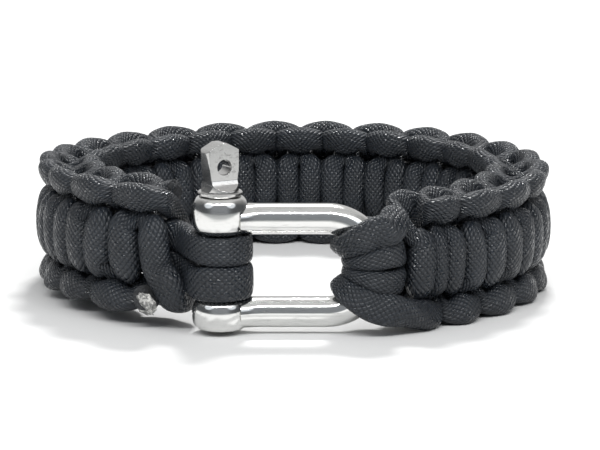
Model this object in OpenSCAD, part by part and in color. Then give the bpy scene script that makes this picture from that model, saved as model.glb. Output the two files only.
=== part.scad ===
// Bracelet woven from one black cord round two core strands, closed by a steel shackle.
// It lies on its side edge: the floor is at z = 0 and the shackle faces -Y.
// The weave is a row of square knots. One working strand crosses the outer face in every row,
// the other crosses the inner face, and their bends lock into each other along both edges.

/* [Bracelet] */
// Radius from the middle of the bracelet to the middle of its band
ring_r = 39.5; // [37:0.5:44]
// Height of the band, from edge to edge
band_h = 22.3; // [21:0.1:25]
// Number of rows in the weave
rows = 45; // [43:2:47]
// Angle of the first row, from the front towards the right
first_row = 28.7; // [27:0.1:31]
// Angle of the last row, from the front towards the left
last_row = 32.6; // [30:0.5:38]
// How far the pin's end of the band is lifted off the floor
end_lift = 2; // [0:0.1:2.5]

/* [Cord] */
// Height of one core strand
core_w = 4.6; // [4:0.1:4.8]
// Thickness of one core strand
core_t = 3.6; // [3:0.1:4]
// Thickness of a working strand where it crosses a face
cross_t = 3.4; // [2.8:0.1:3.8]
// Height of a working strand at its bends
bend_w = 5; // [4.2:0.1:5.2]
// Thickness of a working strand at its bends
bend_t = 3.2; // [2.6:0.1:3.6]
// Thickness of the cord where a turn of it is pressed flat on the steel
flat_t = 2.4; // [2:0.1:2.6]
// Air left between strands that lie against each other
strand_gap = 0.15; // [0.05:0.05:0.25]

/* [Shackle] */
// Thickness of the steel wire
wire_d = 5.1; // [4.5:0.1:5.4]
// Clear opening between the arms
jaw = 10.5; // [10:0.1:11]
// Distance from the pin to the middle of the bow's arc
arm_l = 17.5; // [16:0.5:20]
// Distance of the pin to the left of the bracelet's middle
pin_left = 11.9; // [11:0.1:13]
// Width of the round eyes
eye_d = 9.5; // [8.5:0.1:10]
// Height of the lower eye
low_eye_h = 5.4; // [5.2:0.1:5.6]
// Height of the upper eye
top_eye_h = 6.5; // [5.5:0.1:6.8]

/* [Pin] */
// Diameter of the pin
pin_d = 5; // [4.2:0.1:5]
// Clearance of the pin in its eyes and in the cord, on the radius
pin_clear = 0.08; // [0.05:0.01:0.1]
// How far the pin's tip stands out below the lower eye
tip_l = 0.6; // [0.3:0.1:0.7]
// Diameter of the collar under the head
collar_d = 7.4; // [6.5:0.1:8]
// Thickness of the collar
collar_h = 0.65; // [0.5:0.05:1]
// Height of the flat head above the collar
head_h = 8; // [7:0.5:9]
// Width of the head at its shoulders
head_w = 6; // [5.4:0.1:6.4]
// Width of the head at its neck
neck_w = 4.6; // [4:0.1:5]
// Thickness of the head
head_t = 3.4; // [3:0.1:4]
// Diameter of the hole in the head
head_hole_d = 2.6; // [2:0.1:3]
// Height of that hole above the collar
head_hole_z = 4.1; // [3.6:0.1:4.4]
// Turn of the head from facing the front
head_turn = 28; // [0:1:90]

/* [Hidden] */
$fn = 64;
mid_z = band_h / 2;
cord_sides = 6;

// Places in the weave: a row number, a height from the band's middle and a depth, outwards positive
row_step = (360 - first_row - last_row) / (rows - 1);
// How far rows lie from even spacing, in rows: the first rows are crowded, the last ones loose
crowding = concat(
  [for (s = [[-1, -0.2], [0, 0.05], [1, -0.32], [2, -0.7], [3, -0.8]]) [s[0] + 1, s[1]]],
  [for (s = [[-12, -0.28], [-5, -0.55], [-3, -0.48], [-2, -0.34], [-1, -0.12], [0, 0]])
    [s[0] + rows, s[1]]]);
lift_rows = 16;
function row_angle(u) = first_row + (u - 1 + lookup(u, crowding)) * row_step;
function row_width(u, t) = (row_angle(u + 0.5) - row_angle(u - 0.5)) * PI / 180 * (ring_r + t);
function outward(u) = [sin(row_angle(u)), -cos(row_angle(u)), 0];
function lift(u) = let (k = min(1, max(0, (u - rows + lift_rows) / lift_rows)))
  end_lift * k * k * (3 - 2 * k);
function spot(u, w, t) = outward(u) * (ring_r + t) + [0, 0, mid_z + w + lift(u)];
function facing(u, out, edge, turn) = outward(u) * out * cos(turn) + [0, 0, edge * sin(turn)];

// A station of a cord: its place, the way its flat side faces, half its width, half its thickness
// and, at an end, its heading
function unit(v) = v / norm(v);
function heading(s, i) = s[i][4] ? unit(s[i][4])
  : unit(s[min(i + 1, len(s) - 1)][0] - s[max(i - 1, 0)][0]);
function cord_ring(s, i, n) = let (
    along = heading(s, i),
    side = unit(cross(along, s[i][1])),
    face = cross(side, along),
    full = sqrt(2 * PI / (n * sin(360 / n))))
  [for (k = [0:n - 1]) let (a = 360 * (k + 0.5) / n)
    s[i][0] + side * s[i][2] * cos(a) * full + face * s[i][3] * sin(a) * full];

// Sweeps a cord with flat ends through its stations
module cord(s, n = cord_sides) {
  last = (len(s) - 1) * n;
  polyhedron([for (i = [0:len(s) - 1]) each cord_ring(s, i, n)], concat(
    [[for (k = [n - 1:-1:0]) k]],
    [[for (k = [0:n - 1]) last + k]],
    [for (i = [0:len(s) - 2], k = [0:n - 1]) let (a = i * n + k, b = i * n + (k + 1) % n)
      each [[a, b, a + n], [b, b + n, a + n]]]));
}

// One half row of a working strand, from the middle of a face to its bend at the edge.
// Columns: rows travelled, height as a share of the bend's, depth as a share of the crossing's,
// facing, half width in row widths, half thickness in crossing thicknesses
bend_z = band_h / 2 - bend_w / 2;
cross_r = core_t / 2 + strand_gap + cross_t / 2;
half_row = [
  [0, 0.42, 1, 5, 0.46, 0.5],
  [-0.2, 0.57, 0.7, 42, 0.32, 0.32],
  [-0.27, 0.785, 0.03, 82, 0.22, 0.55],
  [-0.23, 1, -0.8, 100, 0.28, 0.5]];
bend_depth = 1;
bend_turn = 115;
// The strand runs up in odd rows if up is 1, and crosses the outer face if out is 1
function way(k, up) = k % 2 == 0 ? -up : up;
function half_station(k, h, end, up, out, skew = 0) = let (
    u = k + end * h[0] + skew,
    edge = end * way(k, up),
    t = out * h[2] * cross_r)
  [spot(u, edge * h[1] * bend_z, t), facing(u, out, edge, h[3]), h[4] * row_width(k, t),
    h[5] * cross_t];
function bend_station(u, edge, out) =
  [spot(u, edge * bend_z, -out * bend_depth * cross_r), facing(u, out, edge, bend_turn),
    bend_t / 2, bend_w / 2];
function half_up_to(k, up, out, skew = 0) =
  [for (i = [0:len(half_row) - 1]) half_station(k, half_row[i], 1, up, out, skew * i)];
function half_from(k, up, out) =
  [for (i = [len(half_row) - 1:-1:0]) half_station(k, half_row[i], -1, up, out)];
// Rows a to b of a working strand with the bends between them
function weave(a, b, up, out) = [for (k = [a:b]) each concat(
  half_from(k, up, out),
  half_up_to(k, up, out),
  k == b ? [] : [bend_station(k + 0.5, way(k, up), out)])];

// The shackle, which stands upright at the band's middle height
shackle_z = mid_z + 0.2;
bow_r = jaw / 2 + wire_d / 2;
bow_x = arm_l - pin_left;
low_eye_z = -jaw / 2 - low_eye_h / 2;
top_eye_z = jaw / 2 + top_eye_h / 2;

// The core strands, side 1 above and -1 below, which end where their hitches begin
core_z = (core_w + strand_gap) / 2;
core_first = 1.4;
core_last = rows + 0.4;
function core_station(u, side) =
  [spot(u, side * core_z, 0), outward(u), core_w / 2, core_t / 2,
    u == core_first || u == core_last ? [cos(row_angle(u)), sin(row_angle(u)), 0] : undef];
// A station between a core strand's end and its hitch. Columns: row, rise in core widths, depth in
// core thicknesses, half width and half thickness as shares of the core strand's
bow_lead = [1.05, 0, 0.08, 0.96, 0.72];
pin_lead = [rows + 0.85, 0.04, 0.14, 1, 0.8];
pin_lead_drop = 0.3 * end_lift;
function lead(side, s, drop = 0) =
  [spot(s[0], side * (core_z + s[1] * core_w) - drop, s[2] * core_t), outward(s[0]),
    s[3] * core_w / 2, s[4] * core_t / 2];

// A cow hitch on the bow: in over the front, round inside, behind, back inside and out over the
// front. Columns: angle round the bow's arc, angle round the wire from its outer side over the
// front, half width in core widths
turn_r = wire_d / 2 + 2 * strand_gap + flat_t / 2;
bow_hitch_in = [
  [11.5, -25, 0.48], [11.7, 15, 0.48], [12.6, 55, 0.41], [12.5, 90, 0.34], [13, 135, 0.23],
  [13.5, 180, 0.2], [13, 225, 0.23], [12.5, 270, 0.32]];
bow_hitch_out = [
  [43, 270, 0.34], [49, 225, 0.36], [53, 180, 0.37], [50, 135, 0.42], [43, 98, 0.5]];
function on_bow(side, s) = let (
    r = bow_r + turn_r * cos(s[1]),
    out = [cos(s[0]) * cos(s[1]), -sin(s[1]), side * sin(s[0]) * cos(s[1])])
  [[bow_x + r * cos(s[0]), -ring_r - turn_r * sin(s[1]), shackle_z + side * r * sin(s[0])],
    out, s[2] * core_w, flat_t / 2];
// The turn behind the bow, and the slanting stretch from its front to the band's edge.
// Columns: distance to the right and height in bow radii, depth in turn radii, half width
bow_back = [[1, 0.29, 1.01, 0.3], [1.09, 0.51, 1.06, 0.3], [0.95, 0.72, 1.06, 0.32]];
bow_slant = [[0.97, 0.77, -0.98, 0.56], [1.31, 0.87, -0.85, 0.57]];
back_face = [0, 1, 0];
slant_face = [0.25, -1, 0];
function by_bow(side, s, face) =
  [[bow_x + s[0] * bow_r, -ring_r + s[2] * turn_r, shackle_z + side * s[1] * bow_r], face,
    s[3] * core_w, flat_t / 2];
// The end that a bow hitch shares with the working strand it turns into
function slant_joint(side) =
  concat(by_bow(side, bow_slant[1], slant_face), [[0.85, 0.25, side * 0.45]]);

// Half of the cow hitch round the pin: a core strand comes over the front, and a cross strand
// joins the halves behind. The two halves fill the jaw and meet a little above its middle.
// Columns: angle round the pin from the front, rise over the half's own middle and half width as
// shares of its half height
pin_turn_r = pin_d / 2 + pin_clear + 2 * strand_gap + flat_t / 2;
pin_split = 0.6;
pin_hitch_half = [
  [-60, 0.1, 0.92], [-28, 0.02, 0.99], [10, 0, 1], [50, 0, 1], [90, 0, 1], [135, -0.05, 0.9],
  [175, -0.15, 0.75]];
function loop_middle(side) = (pin_split + side * jaw / 2) / 2;
function loop_half(side) = jaw / 4 - side * pin_split / 2 - strand_gap / 2;
function on_pin(side, s) =
  [[-pin_left + pin_turn_r * sin(s[0]), -ring_r - pin_turn_r * cos(s[0]),
    shackle_z + loop_middle(side) + side * s[1] * loop_half(side)], [sin(s[0]), -cos(s[0]), 0],
    s[2] * loop_half(side), flat_t / 2];
// The cross strand. Columns: distance to the left, depth and height in turn radii
pin_cross = [[0.56, 1.1, 0.46], [0.8, 1.27, 0]];
cross_half_w = 0.33;
function behind_pin(side, s) =
  [[-pin_left - s[0] * pin_turn_r, -ring_r + s[1] * pin_turn_r,
    shackle_z + side * s[2] * pin_turn_r], [-0.5, 0.87, 0], cross_half_w * core_w, flat_t / 2];
function pin_half(side) = concat(
  [core_station(core_last, side), lead(side, pin_lead, pin_lead_drop)],
  [for (s = pin_hitch_half) on_pin(side, s)],
  [behind_pin(side, pin_cross[0])]);
function reversed(s) = [for (i = [len(s) - 1:-1:0])
  [s[i][0], s[i][1], s[i][2], s[i][3], s[i][4] ? -s[i][4] : undef]];

// The outer strand's start: from the upper slant over the edge and once round the cores inside.
// Columns: row, height, depth and facing as in a half row, half width in core widths, half
// thickness in crossing thicknesses
outer_start = [
  [0.2, 1, 1.1, 65, 0.45, 0.36], [0.42, 0.88, 0.05, 90, 0.24, 0.48],
  [0.56, 0.7, -0.6, 48, 0.34, 0.36], [0.7, 0.4, -1, 5, 0.42, 0.5],
  [0.92, -0.4, -1, 5, 0.42, 0.5], [1.06, -0.8, -0.7, 50, 0.35, 0.4]];
// The turn under the lower edge into its last row. Columns as above, with rows past the last one
outer_finish = [
  [0.08, -1, -1, 105, 0.36, 0.6], [0.58, -1, -0.62, 95, 0.4, 0.56], [0.76, -1, 0.1, 90, 0.44, 0.54],
  [0.76, -0.93, 0.85, 55, 0.54, 0.52], [0.6, -0.6, 1.1, 15, 0.62, 0.5],
  [0.25, -0.3, 1.1, 5, 0.58, 0.5]];
function edge_station(s, first = 0) =
  [spot(first + s[0], s[1] * bend_z, s[2] * cross_r),
    facing(first + s[0], s[2] < 0 ? -1 : 1, sign(s[1]), s[3]), s[4] * core_w, s[5] * cross_t];
// The strands' cut ends: the outer one's lies behind the upper edge and points back, and the inner
// one's faces the front in the lower corner
end_skew = -0.04;
end_shrink = 0.85;
outer_end = let (u = rows - 0.15, s = bend_station(u, 1, 1))
  [s[0], s[1], s[2] * end_shrink, s[3] * end_shrink, -[cos(row_angle(u)), sin(row_angle(u)), 0]];
inner_end = [spot(rows - 0.08, -0.9 * bend_z, 1.3 * cross_r), [0, 0, -1], 0.4 * bend_w,
  0.4 * bend_w, outward(rows) + [0, 0, -0.15]];
melt_t = 0.4;
melt_shrink = 0.9;

module shackle_bow() {
  color("silver")
  difference() {
    translate([0, -ring_r, shackle_z]) union() {
      translate([bow_x, 0, 0]) rotate([90, 0, 0]) rotate([0, 0, -90])
        rotate_extrude(angle = 180) translate([bow_r, 0]) circle(d = wire_d);
      for (s = [-1, 1]) translate([-pin_left, 0, s * bow_r]) rotate([0, 90, 0])
        cylinder(d = wire_d, h = arm_l);
      translate([-pin_left, 0, low_eye_z]) eye(low_eye_h);
      translate([-pin_left, 0, top_eye_z]) eye(top_eye_h);
    }
    translate([-pin_left, -ring_r, 0]) cylinder(r = pin_d / 2 + pin_clear, h = 3 * band_h);
  }
}

// A forged eye: a ball cut flat above and below
module eye(h) {
  intersection() {
    sphere(d = eye_d);
    cube([eye_d, eye_d, h], center = true);
  }
}

module shackle_pin() {
  tip_z = shackle_z - jaw / 2 - low_eye_h - tip_l;
  seat_z = shackle_z + jaw / 2 + top_eye_h + pin_clear / 2;
  chamfer = 0.35;
  color("silver")
  translate([-pin_left, -ring_r, 0]) {
    rotate_extrude() polygon([[0, tip_z], [pin_d / 2 - chamfer, tip_z], [pin_d / 2, tip_z + chamfer],
      [pin_d / 2, seat_z], [collar_d / 2, seat_z], [collar_d / 2, seat_z + collar_h],
      [0, seat_z + collar_h]]);
    translate([0, 0, seat_z + collar_h]) rotate([0, 0, head_turn]) pin_head();
  }
}

// A flat head forged from the round, wider at its shoulders, with a low gabled top
module pin_head() {
  gable_h = 1.5;
  corner = 0.5;
  shoulder_z = head_h - gable_h;
  ridge = 0.6;
  neck_l = 2;
  root = 0.3;
  round_d = head_w + 0.2;
  half = [[neck_w / 2, -root], [neck_w / 2, neck_l], [head_w / 2, shoulder_z],
    [head_w / 2 - corner, shoulder_z + corner], [ridge, head_h]];
  difference() {
    intersection() {
      translate([0, head_t / 2, 0]) rotate([90, 0, 0]) linear_extrude(head_t)
        polygon(concat(half, [for (i = [len(half) - 1:-1:0]) [-half[i][0], half[i][1]]]));
      translate([0, 0, -root]) cylinder(d = round_d, h = head_h + root);
    }
    translate([0, 0, head_hole_z]) rotate([90, 0, 0])
      cylinder(d = head_hole_d, h = 2 * head_t, center = true);
  }
}

module core(side) {
  color("#232426") cord([for (u = [core_first, each [2:rows], core_last]) core_station(u, side)]);
}
module upper_core() {
  core(1);
}
module lower_core() {
  core(-1);
}

module pin_hitch() {
  color("#232426")
  cord(concat(pin_half(1), [behind_pin(1, pin_cross[1])], reversed(pin_half(-1))));
}

module bow_hitch(side) {
  color("#232426") cord(concat(
    [core_station(core_first, side), lead(side, bow_lead)],
    [for (s = bow_hitch_in) on_bow(side, s)],
    [for (s = bow_back) by_bow(side, s, back_face)],
    [for (s = bow_hitch_out) on_bow(side, s)],
    [by_bow(side, bow_slant[0], slant_face), slant_joint(side)]));
}
module upper_bow_hitch() {
  bow_hitch(1);
}
module lower_bow_hitch() {
  bow_hitch(-1);
}

module outer_strand() {
  color("#26272a") cord(concat(
    [slant_joint(1)],
    [for (s = outer_start) edge_station(s)],
    weave(1, rows - 1, 1, 1),
    [bend_station(rows - 0.45, -1, 1)],
    [for (s = outer_finish) edge_station(s, rows)],
    half_up_to(rows, 1, 1, end_skew),
    [outer_end]));
}

// The inner strand starts at the lower slant, which passes over the first two rows' lower ends
module inner_strand() {
  color("#26272a") cord(concat(
    [slant_joint(-1), bend_station(core_first, -1, -1)],
    weave(2, rows - 1, -1, -1),
    [bend_station(rows - 0.5, 1, -1)],
    half_from(rows, -1, -1),
    half_up_to(rows, -1, -1, end_skew),
    [inner_end]));
}

// Where the cord was cut and melted: a thin disc on its end
module cut_end(s) {
  n = unit(s[4]);
  color("#b9b6ae")
  cord([s, [s[0] + n * melt_t, s[1], s[2] * melt_shrink, s[3] * melt_shrink, n]]);
}
module lower_cut_end() {
  cut_end(inner_end);
}
module upper_cut_end() {
  cut_end(outer_end);
}

shackle_bow();
shackle_pin();
upper_core();
lower_core();
pin_hitch();
upper_bow_hitch();
lower_bow_hitch();
outer_strand();
inner_strand();
lower_cut_end();
upper_cut_end();
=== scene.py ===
import logging
import math
from dataclasses import dataclass, field
from enum import Enum, IntEnum
from typing import NamedTuple

import bmesh
import bpy
import numpy as np
from mathutils import Matrix, Vector, noise

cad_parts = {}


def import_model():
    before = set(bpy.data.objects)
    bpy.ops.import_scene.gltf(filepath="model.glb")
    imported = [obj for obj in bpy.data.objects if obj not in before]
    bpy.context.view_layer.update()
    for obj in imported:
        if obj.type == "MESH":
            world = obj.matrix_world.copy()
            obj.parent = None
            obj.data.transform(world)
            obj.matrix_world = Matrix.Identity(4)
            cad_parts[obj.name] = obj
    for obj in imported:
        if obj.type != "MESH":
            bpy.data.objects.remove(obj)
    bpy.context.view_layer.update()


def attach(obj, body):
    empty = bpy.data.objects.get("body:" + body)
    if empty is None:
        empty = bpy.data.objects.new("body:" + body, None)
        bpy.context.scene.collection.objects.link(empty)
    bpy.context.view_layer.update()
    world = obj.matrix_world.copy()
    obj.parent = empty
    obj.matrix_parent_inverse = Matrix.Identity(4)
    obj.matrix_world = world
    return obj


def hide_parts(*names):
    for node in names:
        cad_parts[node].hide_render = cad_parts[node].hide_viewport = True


MM = 0.001
UV_NAME = "cord_way"

log = logging.getLogger("bracelet")


class Side(IntEnum):
    """A half of the band's height, or the way in which a strand runs."""

    LOWER = -1
    UPPER = 1


class Face(IntEnum):
    """A face of the band."""

    INNER = -1
    OUTER = 1


class Half(IntEnum):
    """A half of a strand's way through a row."""

    BEGIN = -1
    END = 1


class RowStep(NamedTuple):
    """A line of a working strand's table.

    Args:
        rows: Rows travelled.
        height: Height over the band's middle, as a share of the bend's.
        depth: Depth from the band's middle, as a share of the crossing's.
        turn: Degrees that the flat side is turned from the band's face to its edge.
        half_w: Half width, in row widths in the rows and in core widths at the ends.
        half_t: Half thickness, in crossing thicknesses.
    """

    rows: float
    height: float
    depth: float
    turn: float
    half_w: float
    half_t: float


class LeadStep(NamedTuple):
    """A line between a core strand and its hitch.

    Args:
        row: Place in rows.
        height: Height over the core strand, in core widths.
        depth: Depth from the band's middle, in core thicknesses.
        wide: Width as a share of the core strand's.
        thick: Thickness as a share of the core strand's.
    """

    row: float
    height: float
    depth: float
    wide: float
    thick: float


class WireStep(NamedTuple):
    """A line of a turn round the bow's wire.

    Args:
        arc: Angle round the bow's arc, in degrees.
        wire: Angle round the wire from its outer side over the front, in degrees.
        half_w: Half width, in core widths.
    """

    arc: float
    wire: float
    half_w: float


class BowStep(NamedTuple):
    """A line that passes behind or before the bow.

    Args:
        right: Distance from the arc's centre to the right, in bow radii.
        height: Height over the shackle's middle, in bow radii.
        depth: Distance behind the wire, in turn radii.
        half_w: Half width, in core widths.
    """

    right: float
    height: float
    depth: float
    half_w: float


class PinStep(NamedTuple):
    """A line of a turn round the pin.

    Args:
        angle: Angle round the pin from the front, in degrees.
        rise: Height over the half's own middle, as a share of half its height.
        half_w: Half width as a share of half its height.
    """

    angle: float
    rise: float
    half_w: float


class CrossStep(NamedTuple):
    """A line of the cross strand behind the pin, in turn radii of the pin.

    Args:
        left: Distance to the left.
        behind: Distance behind.
        height: Height over the shackle's middle.
    """

    left: float
    behind: float
    height: float


def table(kind: type, *rows: tuple) -> tuple:
    """Return rows of numbers as lines with named columns."""
    return tuple(kind(*row) for row in rows)


def unit(v: np.ndarray) -> np.ndarray:
    """Return vectors (..., 3) scaled to length 1."""
    return v / np.maximum(np.linalg.norm(v, axis=-1, keepdims=True), 1e-12)


def vec(*xyz: float) -> np.ndarray:
    """Return a point or direction as a float array."""
    return np.array(xyz, float)


def new_object(name: str, data: bpy.types.ID) -> bpy.types.Object:
    """Add an object to the scene.

    Args:
        name: Its name.
        data: Its mesh, light or camera.

    Returns:
        The new object.
    """
    thing = bpy.data.objects.new(name, data)
    bpy.context.scene.collection.objects.link(thing)
    return thing


@dataclass(frozen=True)
class Station:
    """One place on a cord's route, in millimetres.

    Args:
        place: Middle of the cord.
        facing: The way its flat side faces.
        half_w: Half its width.
        half_t: Half its thickness along facing.
    """

    place: np.ndarray
    facing: np.ndarray
    half_w: float
    half_t: float


@dataclass(frozen=True)
class Band:
    """The round band: how its rows are spread and how it lies, in millimetres and degrees.

    Args:
        ring_r: Radius of the band's middle.
        height: Height of the weave.
        rows: Number of rows.
        first_row: Angle of the first row from the front.
        last_row: Angle of the last row from the front, on the other side.
        end_lift: How far the last row is lifted off the floor.
        lift_rows: Rows over which the band rises to it.
        core_w: Width of a core strand.
        core_t: Thickness of a core strand.
        cross_t: Thickness of a strand where it crosses a face.
        bend_w: Width of a strand in its bend.
        bend_t: Thickness of a strand in its bend.
        flat_t: Thickness of a strand that is pulled flat.
        gap: Clearance between strands.
        head_crowding: Rows counted from the first, and how far each is moved, in rows.
        tail_crowding: The same with rows counted from the last.
    """

    ring_r: float = 39.5
    height: float = 22.3
    rows: int = 45
    first_row: float = 28.7
    last_row: float = 32.6
    end_lift: float = 2.0
    lift_rows: float = 16.0
    core_w: float = 4.6
    core_t: float = 3.6
    cross_t: float = 3.4
    bend_w: float = 5.0
    bend_t: float = 3.2
    flat_t: float = 2.4
    gap: float = 0.15
    head_crowding: tuple = ((-1, -0.2), (0, 0.05), (1, -0.32), (2, -0.7), (3, -0.8))
    tail_crowding: tuple = ((-12, -0.28), (-5, -0.55), (-3, -0.48), (-2, -0.34), (-1, -0.12), (0, 0))

    @property
    def mid_z(self) -> float:
        """Return the height of the band's middle."""
        return self.height / 2

    @property
    def row_step(self) -> float:
        """Return the mean angle between rows."""
        return (360 - self.first_row - self.last_row) / (self.rows - 1)

    @property
    def bend_z(self) -> float:
        """Return the height of the bends' middles from the band's middle."""
        return (self.height - self.bend_w) / 2

    @property
    def cross_r(self) -> float:
        """Return the depth of the crossings' middles from the band's middle."""
        return self.core_t / 2 + self.gap + self.cross_t / 2

    @property
    def core_z(self) -> float:
        """Return the height of a core strand's middle from the band's middle."""
        return (self.core_w + self.gap) / 2

    def row_angle(self, u: float) -> float:
        """Return a row's angle from the front towards the right.

        Args:
            u: Row number, which may lie between rows.

        Returns:
            The angle in degrees.
        """
        rows = [row + 1 for row, _ in self.head_crowding] + [row + self.rows for row, _ in self.tail_crowding]
        moved = [by for _, by in (*self.head_crowding, *self.tail_crowding)]
        return self.first_row + (u - 1 + float(np.interp(u, rows, moved))) * self.row_step

    def row_width(self, u: float, t: float) -> float:
        """Return a row's width at a depth t from the band's middle."""
        return math.radians(self.row_angle(u + 0.5) - self.row_angle(u - 0.5)) * (self.ring_r + t)

    def outward(self, u: float) -> np.ndarray:
        """Return the direction away from the wrist at row u."""
        a = math.radians(self.row_angle(u))
        return vec(math.sin(a), -math.cos(a), 0)

    def lift(self, u: float) -> float:
        """Return how far the band is lifted off the floor at row u."""
        k = min(1.0, max(0.0, (u - self.rows + self.lift_rows) / self.lift_rows))
        return self.end_lift * k * k * (3 - 2 * k)

    def spot(self, u: float, w: float, t: float) -> np.ndarray:
        """Return the point at row u, w above the band's middle and t outside it."""
        return self.outward(u) * (self.ring_r + t) + vec(0, 0, self.mid_z + w + self.lift(u))

    def facing(self, u: float, face: Face, edge: float, turn: float) -> np.ndarray:
        """Return a flat side's direction, turned from the band's face towards its edge.

        Args:
            u: Row number.
            face: The face that it is turned from.
            edge: 1 towards the upper edge, -1 towards the lower one.
            turn: Degrees turned from the face.

        Returns:
            The direction.
        """
        a = math.radians(turn)
        return self.outward(u) * face * math.cos(a) + vec(0, 0, edge * math.sin(a))


@dataclass(frozen=True)
class Route:
    """A cord's way through its stations, sampled finely.

    Args:
        stations: The stations in order.
        spacing: Distance between rings, in millimetres.
    """

    stations: tuple
    spacing: float = 0.42

    def sampled(self) -> tuple[np.ndarray, np.ndarray, np.ndarray, list[int]]:
        """Sample a smooth curve through the stations.

        Returns:
            Places (n, 3), facings (n, 3) and half sizes (n, 2) in millimetres, and the sample at
            each station.
        """
        rows = np.array([[*s.place, *unit(s.facing), s.half_w, s.half_t] for s in self.stations])
        rows = np.vstack([2 * rows[0] - rows[1], rows, 2 * rows[-1] - rows[-2]])
        steps = np.sqrt(np.linalg.norm(np.diff(rows[:, :3], axis=0), axis=1))
        knots = np.concatenate([[0], np.cumsum(np.maximum(steps, 1e-6))])
        pieces, marks = [], [0]
        for i in range(1, len(rows) - 2):
            count = max(2, int(round(steps[i] ** 2 / self.spacing)))
            t = np.linspace(knots[i], knots[i + 1], count, endpoint=False)[:, None]
            pieces.append(self._segment(rows[i - 1:i + 3], knots[i - 1:i + 3], t))
            marks.append(marks[-1] + count)
        line = np.vstack([*pieces, rows[-2:-1]])
        return line[:, :3], unit(line[:, 3:6]), line[:, 6:], marks

    @staticmethod
    def _segment(p: np.ndarray, k: np.ndarray, t: np.ndarray) -> np.ndarray:
        """Return points of one stretch of a centripetal Catmull-Rom curve.

        Args:
            p: Four control rows.
            k: Their four knots.
            t: Parameters between the second and third knot.

        Returns:
            One row for each parameter.
        """
        a = [(k[i + 1] - t) / (k[i + 1] - k[i]) * p[i] + (t - k[i]) / (k[i + 1] - k[i]) * p[i + 1] for i in range(3)]
        b = [(k[i + 2] - t) / (k[i + 2] - k[i]) * a[i] + (t - k[i]) / (k[i + 2] - k[i]) * a[i + 1] for i in range(2)]
        return (k[2] - t) / (k[2] - k[1]) * b[0] + (t - k[1]) / (k[2] - k[1]) * b[1]


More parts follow.
